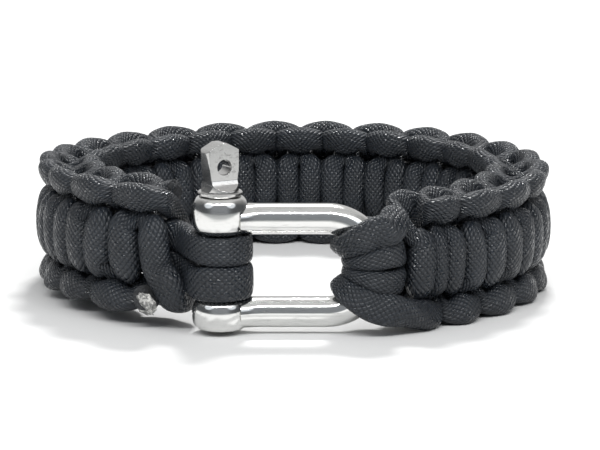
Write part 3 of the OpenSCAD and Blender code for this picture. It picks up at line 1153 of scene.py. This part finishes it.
@dataclass(frozen=True)
class BraidFinish:
    """Black braided nylon.

    Args:
        name: Name of the material.
        yarns: Yarns that run round each way.
        stitch: Length of a stitch along the cord, in millimetres.
        relief: Height of the braid, in millimetres.
        thread: Colour of a fresh yarn.
        worn: Colour of a yarn that is rubbed pale.
        shade: Colour of the painted shade in the gaps between stitches.
        wear: Wear of every stitch, and what a stitch's own tone adds to it.
        patches: Scale of the patches where the cord is worn.
        patch_span: Values of their pattern at which wear begins and is full.
        gloss: Roughness of a dull stitch and of a glossy one.
        gloss_span: Tones of a stitch from which it begins to be glossy, and is.
        gap_dull: Roughness that a gap adds.
        fuzz: Height of the fuzz as a share of the braid's.
        fuzz_scale: Scale of the fuzz.
    """

    name: str = "braided_nylon"
    yarns: float = 14.0
    stitch: float = 1.0
    relief: float = 0.25
    thread: tuple = (0.0115, 0.0146, 0.0195, 1)
    worn: tuple = (0.0245, 0.0305, 0.0395, 1)
    shade: tuple = (0.003, 0.0036, 0.005, 1)
    wear: tuple = (0.3, 0.35)
    patches: float = 140.0
    patch_span: tuple = (0.35, 0.7)
    gloss: tuple = (0.46, 0.13)
    gloss_span: tuple = (0.45, 0.95)
    gap_dull: float = 0.35
    fuzz: float = 0.25
    fuzz_scale: float = 3800.0

    def material(self, braid: bpy.types.NodeTree) -> bpy.types.Material:
        """Return the material.

        Args:
            braid: The braid's node group.

        Returns:
            The new material.
        """
        mat, s, shader = new_material(self.name)
        way = s.put("UVMap", uv_map=UV_NAME)
        pattern = s.put("Group", node_tree=braid)
        for value, name in ((way.outputs[0], "Way"), (self.yarns, "Yarns"), (self.stitch, "Stitch")):
            s.join(value, pattern.inputs[name])
        height, tone, gap = (pattern.outputs[name] for name in ("Height", "Tone", "Gap"))
        place = s.put("TexCoord").outputs["Object"]
        patches = s.ramp(s.noise(place, self.patches, 3), *self.patch_span)
        every, own = self.wear
        light = s.math("MULTIPLY", s.math("ADD", s.math("MULTIPLY", tone, own), every), patches)
        colour = s.tint(light, self.thread, self.worn)
        # Painted shade: the base colour is darkened towards the shade colour in the gaps between stitches.
        s.join(s.tint(gap, colour, self.shade), shader.inputs["Base Color"])
        rough = s.ramp(tone, *self.gloss_span, *self.gloss)
        s.join(s.math("ADD", rough, s.math("MULTIPLY", gap, self.gap_dull)), shader.inputs["Roughness"])
        fuzz = s.noise(place, self.fuzz_scale, 2)
        surface = s.math("ADD", height, s.math("MULTIPLY", fuzz, self.fuzz))
        s.join(s.bump(surface, 1.0, self.relief), shader.inputs["Normal"])
        return mat


@dataclass(frozen=True)
class SteelFinish:
    """Polished stainless steel with fine marks.

    Args:
        name: Name of the material.
        colour: Colour where it is clean.
        dull: Colour of the marks.
        roughness: Roughness where it is clean.
        mark_rough: Roughness that a mark adds.
        mark_scale: Scale of the marks.
        mark_depth: Depth of the marks, in millimetres.
        mark_bump: Strength of their relief.
    """

    name: str
    colour: tuple = (0.77, 0.77, 0.755, 1)
    dull: tuple = (0.5, 0.5, 0.485, 1)
    roughness: float = 0.12
    mark_rough: float = 0.2
    mark_scale: float = 2600.0
    mark_depth: float = 0.004
    mark_bump: float = 0.5

    def material(self, marks: bpy.types.NodeTree) -> bpy.types.Material:
        """Return the material.

        Args:
            marks: The node group of fine marks.

        Returns:
            The new material.
        """
        mat, s, shader = new_material(self.name)
        wear = s.put("Group", node_tree=marks)
        s.join(s.put("TexCoord").outputs["Object"], wear.inputs["Place"])
        wear.inputs["Scale"].default_value = self.mark_scale
        mask = wear.outputs["Marks"]
        s.join(s.tint(mask, self.colour, self.dull), shader.inputs["Base Color"])
        rough = s.ramp(mask, 0, 1, self.roughness, self.roughness + self.mark_rough)
        s.join(rough, shader.inputs["Roughness"])
        s.join(s.bump(wear.outputs["Height"], self.mark_bump, self.mark_depth), shader.inputs["Normal"])
        shader.inputs["Metallic"].default_value = 1.0
        return mat


@dataclass(frozen=True)
class MeltedFinish:
    """Nylon that was cut and melted.

    Args:
        name: Name of the material.
        pale: Colour of its crumbs.
        burnt: Colour between them.
        grain: Scale of the crumbs.
        grain_span: Values of their pattern at which the pale begins and is full.
        relief: Depth of the crumbs, in millimetres.
        strength: Strength of their relief.
        roughness: Its roughness.
    """

    name: str
    pale: tuple
    burnt: tuple
    grain: float = 1700.0
    grain_span: tuple = (0.42, 0.62)
    relief: float = 0.3
    strength: float = 0.9
    roughness: float = 0.6

    def material(self) -> bpy.types.Material:
        """Return the material.

        Returns:
            The new material.
        """
        mat, s, shader = new_material(self.name)
        grain = s.noise(s.put("TexCoord").outputs["Object"], self.grain, 4, 0.65)
        s.join(s.tint(s.ramp(grain, *self.grain_span), self.burnt, self.pale), shader.inputs["Base Color"])
        s.join(s.bump(grain, self.strength, self.relief), shader.inputs["Normal"])
        shader.inputs["Roughness"].default_value = self.roughness
        return mat


class Steel(Enum):
    """The two finishes of the shackle."""

    BOW = SteelFinish("bow_steel")
    PIN = SteelFinish("pin_steel", (0.6, 0.595, 0.585, 1), (0.43, 0.425, 0.415, 1), 0.2)


class Melt(Enum):
    """The two finishes of a cut end: pale, and burnt dark."""

    PALE = MeltedFinish("melted_nylon", (0.72, 0.71, 0.68, 1), (0.2, 0.2, 0.195, 1))
    SINGED = MeltedFinish("singed_nylon", (0.03, 0.032, 0.036, 1), (0.008, 0.009, 0.011, 1))


def settle(piece: bpy.types.Object) -> None:
    """Apply a piece's modifiers to its mesh.

    Args:
        piece: The object that carries them.
    """
    view = bpy.context.evaluated_depsgraph_get()
    mesh = bpy.data.meshes.new_from_object(piece.evaluated_get(view))
    piece.modifiers.clear()
    piece.data = mesh


def to_object(bm: bmesh.types.BMesh, name: str, sharp: float = 180.0) -> bpy.types.Object:
    """Turn a bmesh in millimetres into a piece in metres and free it.

    Args:
        bm: The shape.
        name: Name of the piece.
        sharp: Edges sharper than this many degrees stay crisp.

    Returns:
        The new object.
    """
    bmesh.ops.scale(bm, vec=(MM, MM, MM), verts=bm.verts)
    bmesh.ops.recalc_face_normals(bm, faces=bm.faces)
    mesh = bpy.data.meshes.new(name)
    bm.to_mesh(mesh)
    bm.free()
    mesh.shade_smooth()
    if sharp < 180:
        mesh.set_sharp_from_angle(angle=math.radians(sharp))
    return new_object(name, mesh)


class Crumbs(NamedTuple):
    """One size of crumbs.

    Args:
        scale: How fine they are.
        shift: How much the end's place changes their pattern.
        fractal: Roughness, spacing and number of the noise's layers.
        depth: Their share of the crumbs' depth.
    """

    scale: float
    shift: float
    fractal: tuple
    depth: float


@dataclass
class MeltedEnd:
    """The crumbly face of a cord that was cut and melted, in millimetres.

    Args:
        width: Its width.
        height: How far it stands out of the cord.
        crumb: Depth of its crumbs.
        coarse: The crumbs all over it.
        fine: The finer ones on its rim.
    """

    width: float = 3.9
    height: float = 0.7
    crumb: float = 0.8
    coarse: Crumbs = Crumbs(3.1, 0.37, (0.9, 2.2, 4), 0.28)
    fine: Crumbs = Crumbs(7.0, 1.0, (0.8, 2.1, 3), 0.22)

    def build(self, name: str, middle: np.ndarray, heading: np.ndarray, finish: bpy.types.Material,
              node: str) -> bpy.types.Object:
        """Build one end and put it on the cord.

        Args:
            name: Name of the piece.
            middle: Middle of the cut.
            heading: The way the cord's end points.
            finish: Its material.
            node: The CAD node that it replaces.

        Returns:
            The new object.
        """
        bm = bmesh.new()
        bmesh.ops.create_icosphere(bm, subdivisions=5, radius=1.0)
        for v in bm.verts:
            rim = 1 - abs(v.co.z)
            grain, spikes = (c.depth * noise.fractal(v.co * c.scale + Vector(middle) * c.shift, *c.fractal)
                             for c in (self.coarse, self.fine))
            v.co *= 1 + self.crumb * (grain + spikes * rim)
        bmesh.ops.scale(bm, vec=(self.width / 2, self.width / 2, self.height), verts=bm.verts)
        turn = Vector((0, 0, 1)).rotation_difference(Vector(heading)).to_matrix().to_4x4()
        bmesh.ops.transform(bm, matrix=Matrix.Translation(Vector(middle)) @ turn, verts=bm.verts)
        piece = to_object(bm, name)
        piece.data.materials.append(finish)
        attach(piece, "bracelet")
        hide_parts(node)
        return piece


def draw_out(bm: bmesh.types.BMesh, edges: list, shift: tuple, scale: tuple, about: tuple = (0, 0, 0)) -> list:
    """Draw a loop of edges out by one step.

    Args:
        bm: The mesh that they belong to.
        edges: The loop's edges.
        shift: How far it is moved.
        scale: How it is scaled.
        about: The point about which it is scaled.

    Returns:
        The new loop's edges.
    """
    grown = bmesh.ops.extrude_edge_only(bm, edges=edges)["geom"]
    verts = [v for v in grown if isinstance(v, bmesh.types.BMVert)]
    bmesh.ops.translate(bm, vec=shift, verts=verts)
    bmesh.ops.scale(bm, vec=scale, space=Matrix.Translation(-Vector(about)), verts=verts)
    return [e for e in grown if isinstance(e, bmesh.types.BMEdge)]


@dataclass
class Shackle:
    """The bow shackle: a bent wire between two forged eyes, and its screw pin, in millimetres.

    Args:
        fittings: Where it stands.
        finish: The steel of the bow.
        pin_finish: The steel of the pin.
        wire_steps: Faces round the wire, and steps round the bow.
        turn_steps: Faces round a turned piece.
        bow_sharp: Degrees from which the bow's edges are crisp.
        pin_sharp: The same for the pin's.
        eye_d: Diameter of an eye.
        low_eye_h: Height of the lower eye.
        top_eye_h: Height of the upper eye.
        eye_edge: How far an eye's sides are rounded inwards.
        eye_round: Exponents of that rounding, across and up.
        eye_lip: How far it ends below the eye's face.
        bore_edge: Bevel of a bore.
        flare: Distances of an arm's cuts from the pin, and its width and height there in wires.
        tip_l: How far the pin's tip stands out of the lower eye.
        tip_edge: Bevel of the tip.
        pitch: Distance between threads.
        thread_depth: Depth of the thread.
        threads: Number of threads.
        collar_d: Diameter of the collar.
        collar_h: Height of the collar.
        collar_edge: Bevel of the collar.
        head_h: Height of the head.
        head_w: Width of the head.
        neck_w: Width of its neck.
        head_t: Thickness of the head.
        waist: Heights of the neck's cuts, and what its half width and half thickness gain there.
        gable: Distances of the head's upper cuts below its top, and what its half width loses there.
        round_play: How far the cylinder that rounds the head is wider than it.
        head_edge: Bevel of the head.
        head_bend: Degrees from which its edges are bevelled.
        hole_d: Diameter of its cross hole.
        hole_z: Height of that hole.
        head_turn: Degrees that the head is turned from the front.
    """

    fittings: Fittings
    finish: bpy.types.Material
    pin_finish: bpy.types.Material
    wire_steps: int = 40
    turn_steps: int = 64
    bow_sharp: float = 40.0
    pin_sharp: float = 35.0
    eye_d: float = 9.5
    low_eye_h: float = 5.4
    top_eye_h: float = 6.5
    eye_edge: float = 1.9
    eye_round: tuple = (0.85, 0.8)
    eye_lip: float = 0.02
    bore_edge: float = 0.25
    flare: tuple = ((12.5, 1.0, 1.0), (7.6, 1.0, 1.0), (6.4, 1.02, 1.0), (5.4, 1.1, 1.005), (4.5, 1.24, 1.01),
                    (3.4, 1.4, 1.01))
    tip_l: float = 0.6
    tip_edge: float = 0.35
    pitch: float = 0.7
    thread_depth: float = 0.28
    threads: int = 7
    collar_d: float = 7.4
    collar_h: float = 0.65
    collar_edge: float = 0.15
    head_h: float = 8.0
    head_w: float = 6.0
    neck_w: float = 4.6
    head_t: float = 3.4
    waist: tuple = ((-0.3, 0.6, 2.0), (0.2, 0.4, 1.45), (0.7, 0.15, 0.85), (1.25, 0, 0.35), (1.9, 0.04, 0))
    gable: tuple = ((1.5, 0), (1.0, 0.5), (0, 2.4))
    round_play: float = 0.1
    head_edge: float = 0.22
    head_bend: float = 28.0
    hole_d: float = 2.6
    hole_z: float = 4.1
    head_turn: float = 28.0

    @property
    def seat_z(self) -> float:
        """Return the height of the collar's underside."""
        f = self.fittings
        return f.middle_z + f.jaw / 2 + self.top_eye_h + f.pin_clear / 2

    def build_bow(self) -> bpy.types.Object:
        """Build the wire and the eyes as one piece.

        Returns:
            The new object.
        """
        f = self.fittings
        y, low, high = -f.band.ring_r, f.middle_z - f.bow_r, f.middle_z + f.bow_r
        bm = bmesh.new()
        start = Matrix.Translation((f.bow_x, y, low)) @ Matrix.Rotation(math.pi / 2, 4, "Y")
        bmesh.ops.create_circle(bm, segments=self.wire_steps, radius=f.wire_d / 2, matrix=start)
        first = list(bm.edges)
        arc = bmesh.ops.spin(bm, geom=first, cent=(f.bow_x, y, f.middle_z), axis=(0, -1, 0), angle=math.pi,
                             steps=self.wire_steps, use_merge=False)
        last = [e for e in arc["geom_last"] if isinstance(e, bmesh.types.BMEdge)]
        self._arm(bm, first, low)
        self._arm(bm, last, high)
        for side, height in ((Side.LOWER, self.low_eye_h), (Side.UPPER, self.top_eye_h)):
            self._eye(bm, f.middle_z + side * (f.jaw + height) / 2, height)
        piece = to_object(bm, "steel_bow", self.bow_sharp)
        piece.data.materials.append(self.finish)
        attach(piece, "bracelet")
        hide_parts("shackle_bow")
        return piece

    def _arm(self, bm: bmesh.types.BMesh, edges: list, z: float) -> None:
        """Draw one arm out of the bow's end, flared where it runs into its eye.

        Args:
            bm: The bow's mesh.
            edges: The bow's open end.
            z: Height of the arm's middle.
        """
        f = self.fittings
        x, wide, tall = f.bow_x, 1.0, 1.0
        for reach, w, h in self.flare:
            shift = (reach - f.pin_left - x, 0, 0)
            edges = draw_out(bm, edges, shift, (1, w / wide, h / tall), (0, -f.band.ring_r, z))
            x, wide, tall = reach - f.pin_left, w, h
        bmesh.ops.edgeloop_fill(bm, edges=edges)

    def _turn(self, bm: bmesh.types.BMesh, profile: list, z: float, closed: bool) -> None:
        """Turn a profile once round the pin's axis.

        Args:
            bm: The mesh that it is added to.
            profile: Distances from the axis, and heights.
            z: Height of the profile's zero.
            closed: Whether its last point joins its first.
        """
        f = self.fittings
        verts = [bm.verts.new((-f.pin_left + r, -f.band.ring_r, z + t)) for r, t in profile]
        ends = verts[:1] if closed else []
        edges = [bm.edges.new(pair) for pair in zip(verts, verts[1:] + ends)]
        bmesh.ops.spin(bm, geom=verts + edges, cent=(-f.pin_left, -f.band.ring_r, z), axis=(0, 0, 1),
                       angle=2 * math.pi, steps=self.turn_steps, use_merge=True)

    def _eye(self, bm: bmesh.types.BMesh, z: float, height: float) -> None:
        """Turn one eye: a thick ring with full round sides and a bore.

        Args:
            bm: The bow's mesh.
            z: Height of the eye's middle.
            height: The eye's own height.
        """
        f = self.fittings
        bore, outer, h, edge = f.pin_d / 2 + f.pin_clear, self.eye_d / 2, height / 2, self.eye_edge
        wide, tall = self.eye_round
        side = [(outer - edge + edge * math.cos(a) ** wide, (h - self.eye_lip) * math.sin(a) ** tall)
                for a in np.radians(np.linspace(4, 90, 12))]
        upper = side + [(bore + self.bore_edge, h), (bore, h - self.bore_edge)]
        self._turn(bm, [(r, -t) for r, t in upper[::-1]] + upper, z, True)

    def build_pin(self) -> bpy.types.Object:
        """Build the pin with its collar and its flat head.

        Returns:
            The new object.
        """
        f = self.fittings
        low, seat = f.middle_z - f.jaw / 2 - self.low_eye_h - self.tip_l, self.seat_z
        r, c, rim, e, top = f.pin_d / 2, self.tip_edge, self.collar_d / 2, self.collar_edge, seat + self.collar_h
        thread = [(r - self.thread_depth * (i % 2), low + c + i * self.pitch / 2) for i in range(2 * self.threads)]
        collar = [(rim - e, seat), (rim, seat + e), (rim, top - e), (rim - e, top)]
        bm = bmesh.new()
        self._turn(bm, [(0, low), (r - c, low), *thread, (r, seat), *collar, (0, top)], 0, False)
        bmesh.ops.remove_doubles(bm, verts=bm.verts, dist=1e-4)
        shank = to_object(bm, "steel_pin", self.pin_sharp)
        head = self._head()
        bm = bmesh.new()
        bm.from_mesh(shank.data)
        bm.from_mesh(head.data)
        bm.to_mesh(shank.data)
        bm.free()
        bpy.data.objects.remove(head)
        shank.data.set_sharp_from_angle(angle=math.radians(self.pin_sharp))
        even = shank.modifiers.new("even", "WEIGHTED_NORMAL")
        even.keep_sharp = True
        settle(shank)
        shank.data.materials.append(self.pin_finish)
        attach(shank, "pin")
        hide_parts("shackle_pin")
        return shank

    def _head(self) -> bpy.types.Object:
        """Build the flat head with its hole, its waist and its low gable.

        Returns:
            An object that is put in its place and is still to be joined to the pin.
        """
        f = self.fittings
        top, wide, neck, t = self.head_h, self.head_w / 2, self.neck_w / 2, self.head_t / 2
        levels = ([(z, neck + w, t + d) for z, w, d in self.waist]
                  + [(top - down, wide - w, t) for down, w in self.gable])
        bm = bmesh.new()
        z, x, y = levels[0]
        foot = [bm.verts.new((a * x, b * y, z)) for a, b in ((-1, -1), (1, -1), (1, 1), (-1, 1))]
        edges = [bm.edges.new(pair) for pair in zip(foot, foot[1:] + foot[:1])]
        bmesh.ops.edgeloop_fill(bm, edges=edges)
        for next_z, next_x, next_y in levels[1:]:
            edges = draw_out(bm, edges, (0, 0, next_z - z), (next_x / x, next_y / y, 1))
            z, x, y = next_z, next_x, next_y
        bmesh.ops.edgeloop_fill(bm, edges=edges)
        head = to_object(bm, "pin_head")
        middle, hole = (Matrix.Translation((0, 0, height)) for height in (top / 2, self.hole_z))
        cutters = {
            "INTERSECT": self._cutter("head_round", wide + self.round_play, middle),
            "DIFFERENCE": self._cutter("head_hole", self.hole_d / 2, hole @ Matrix.Rotation(math.pi / 2, 4, "X")),
        }
        for operation, cutter in cutters.items():
            cut = head.modifiers.new(cutter.name, "BOOLEAN")
            cut.operation, cut.object, cut.solver = operation, cutter, "EXACT"
        settle(head)
        soften = head.modifiers.new("edges", "BEVEL")
        soften.width, soften.segments = self.head_edge * MM, 3
        soften.limit_method, soften.angle_limit = "ANGLE", math.radians(self.head_bend)
        settle(head)
        for cutter in cutters.values():
            bpy.data.objects.remove(cutter)
        place = (Matrix.Translation(Vector((-f.pin_left, -f.band.ring_r, self.seat_z + self.collar_h)) * MM)
                 @ Matrix.Rotation(math.radians(self.head_turn), 4, "Z"))
        head.data.transform(place)
        return head

    def _cutter(self, name: str, radius: float, place: Matrix) -> bpy.types.Object:
        """Make a long round cutter about a place.

        Args:
            name: Name of the cutter.
            radius: Its radius.
            place: Where its middle lies and how it is turned.

        Returns:
            The new object.
        """
        bm = bmesh.new()
        bmesh.ops.create_cone(bm, cap_ends=True, segments=self.turn_steps, radius1=radius, radius2=radius, depth=12,
                              matrix=place)
        return to_object(bm, name)


@dataclass(frozen=True)
class Lamp:
    """A rectangular soft lamp that faces the bracelet.

    Args:
        name: Its name.
        place: Where it hangs, in metres.
        size: Its width and height, in metres.
        power: Its power, in watts.
        aim: The point that it faces, in metres.
    """

    name: str
    place: tuple
    size: tuple
    power: float
    aim: tuple = (0, 0, 0.01)


@dataclass
class Studio:
    """The pale floor, the soft lamps and the camera at the photograph's angle.

    Args:
        distance: From the camera to the band's middle, in metres.
        elevation: The camera's angle above the floor, in degrees.
        lens: Focal length on a sensor 36 mm wide, in millimetres.
        aim: The point in the middle of the view, in metres.
        room: Brightness of the room.
        low: Its colour low down and on the camera's side.
        high: Its colour above and behind.
        high_way: Shares of the ways back and up that count as high.
        high_span: Where the room begins to turn from low to high, and where it ends.
        sides: Share of the room's brightness that is left at its sides.
        side_span: Where it begins to grow darker to the side, and where it ends.
        windows: What two bright patches add to it, at the left and the right of the camera.
        window_way: The way to a patch's middle: aside, back and up.
        window_span: Nearness to that way where a patch begins, and where it is full.
        paper: Colour of the paper.
        paper_rough: Roughness of the paper.
        beyond: Colour of a painted dark reflection, which the floor takes only in glossy rays such as the steel's,
            from some way in front of the bracelet.
        dark_reflection_from: Where that painted dark reflection begins in front of the bracelet, in metres. The paper
            itself runs on.
        dark_reflection_fade: Distance over which it grows full, in metres.
        lamps: The soft lamps.
    """

    distance: float = 0.515
    elevation: float = 11.0
    lens: float = 174.0
    aim: tuple = (0.00115, 0.0, 0.0104)
    room: float = 0.7
    low: tuple = (0.37, 0.39, 0.415, 1)
    high: tuple = (0.95, 0.95, 0.95, 1)
    high_way: tuple = (0.5, 0.87)
    high_span: tuple = (0.28, 0.66)
    sides: float = 0.35
    side_span: tuple = (0.4, 0.85)
    windows: float = 2.8
    window_way: tuple = (0.65, -0.45, 0.6)
    window_span: tuple = (0.93, 0.96)
    paper: tuple = (0.75, 0.75, 0.745, 1)
    paper_rough: float = 0.85
    beyond: tuple = (0.3, 0.31, 0.31, 1)
    dark_reflection_from: float = -0.115
    dark_reflection_fade: float = 0.05
    lamps: tuple = (
        Lamp("key_behind", (0.065, 0.4, 0.66), (0.14, 0.1), 4.6),
        Lamp("strip_front", (0.05, -0.48, 0.6), (0.9, 0.035), 4.4),
    )

    def build(self) -> None:
        """Build the studio."""
        self._floor()
        self._sky()
        for lamp in self.lamps:
            self._lamp(lamp)
        self._camera()
        bpy.context.scene.view_settings.view_transform = "Standard"

    def _floor(self) -> None:
        """Lay a wide white floor, which glossy rays see as dark grey from some way in front of the bracelet: a
        painted dark reflection in the steel.
        """
        bm = bmesh.new()
        bmesh.ops.create_circle(bm, cap_ends=True, segments=96, radius=4.0)
        mesh = bpy.data.meshes.new("studio_floor")
        bm.to_mesh(mesh)
        bm.free()
        floor = new_object("studio_floor", mesh)
        mat, s, shader = new_material("white_paper")
        place = s.put("SeparateXYZ", {0: s.put("TexCoord").outputs["Object"]})
        # Painted reflection: only glossy rays see the floor turn dark grey in front of the bracelet, so the steel
        # mirrors a dark floor that the camera doesn't see.
        beyond = s.ramp(place.outputs[1], self.dark_reflection_from, self.dark_reflection_from - self.dark_reflection_fade)
        mirrored = s.math("MULTIPLY", beyond, s.put("LightPath").outputs["Is Glossy Ray"])
        s.join(s.tint(mirrored, self.paper, self.beyond), shader.inputs["Base Color"])
        shader.inputs["Roughness"].default_value = self.paper_rough
        mesh.materials.append(mat)

    def _sky(self) -> None:
        """Light the room softly: white above and behind, grey low down and on the camera's side."""
        world = bpy.data.worlds.new("studio_room")
        world.use_nodes = True
        s = Sheet(world.node_tree)
        way = s.put("SeparateXYZ", {0: s.put("TexCoord").outputs["Generated"]})
        right, back, up = way.outputs
        aside = s.math("ABSOLUTE", right)
        shade = s.tint(s.ramp(s.weigh((back, up), self.high_way), *self.high_span), self.low, self.high)
        window = s.ramp(s.weigh((aside, back, up), self.window_way), *self.window_span)
        base = s.ramp(aside, *self.side_span, 1.0, self.sides)
        light = s.math("ADD", base, s.math("MULTIPLY", window, self.windows))
        room = world.node_tree.nodes["Background"]
        s.join(shade, room.inputs["Color"])
        s.join(s.math("MULTIPLY", light, self.room), room.inputs["Strength"])
        bpy.context.scene.world = world

    def _lamp(self, lamp: Lamp) -> None:
        """Hang one lamp and turn it to the bracelet.

        Args:
            lamp: The lamp.
        """
        light = bpy.data.lights.new(lamp.name, "AREA")
        light.shape = "RECTANGLE"
        light.size, light.size_y = lamp.size
        light.energy = lamp.power
        place = Vector(lamp.place)
        turn = (Vector(lamp.aim) - place).to_track_quat("-Z", "Y").to_matrix().to_4x4()
        new_object(lamp.name, light).matrix_world = Matrix.Translation(place) @ turn

    def _camera(self) -> None:
        """Set up the camera."""
        lens = bpy.data.cameras.new("camera")
        lens.lens = self.lens
        lens.sensor_width = 36.0
        lens.clip_start = 0.01
        camera = new_object("camera", lens)
        tilt = math.radians(self.elevation)
        place = Vector(self.aim) + Vector((0, -math.cos(tilt), math.sin(tilt))) * self.distance
        camera.matrix_world = Matrix.Translation(place) @ Matrix.Rotation(math.pi / 2 - tilt, 4, "X")
        bpy.context.scene.camera = camera


def main() -> None:
    """Build and dress the bracelet and its studio."""
    logging.basicConfig(level=logging.INFO, format="%(message)s")
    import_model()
    Studio().build()
    braid, marks = braid_group(), wear_group()
    fittings = Fittings(Band())
    pale, singed = (melt.value.material() for melt in (Melt.PALE, Melt.SINGED))
    work = CordWork(fittings, CordTube(), BraidFinish().material(braid), pale, singed)
    bow_steel, pin_steel = (steel.value.material(marks) for steel in (Steel.BOW, Steel.PIN))
    shackle = Shackle(fittings, bow_steel, pin_steel)
    for piece in (*work.build(), shackle.build_bow(), shackle.build_pin(), *work.build_ends()):
        log.info("%s: %d faces", piece.name, len(piece.data.polygons))


if __name__ == "__main__":
    main()
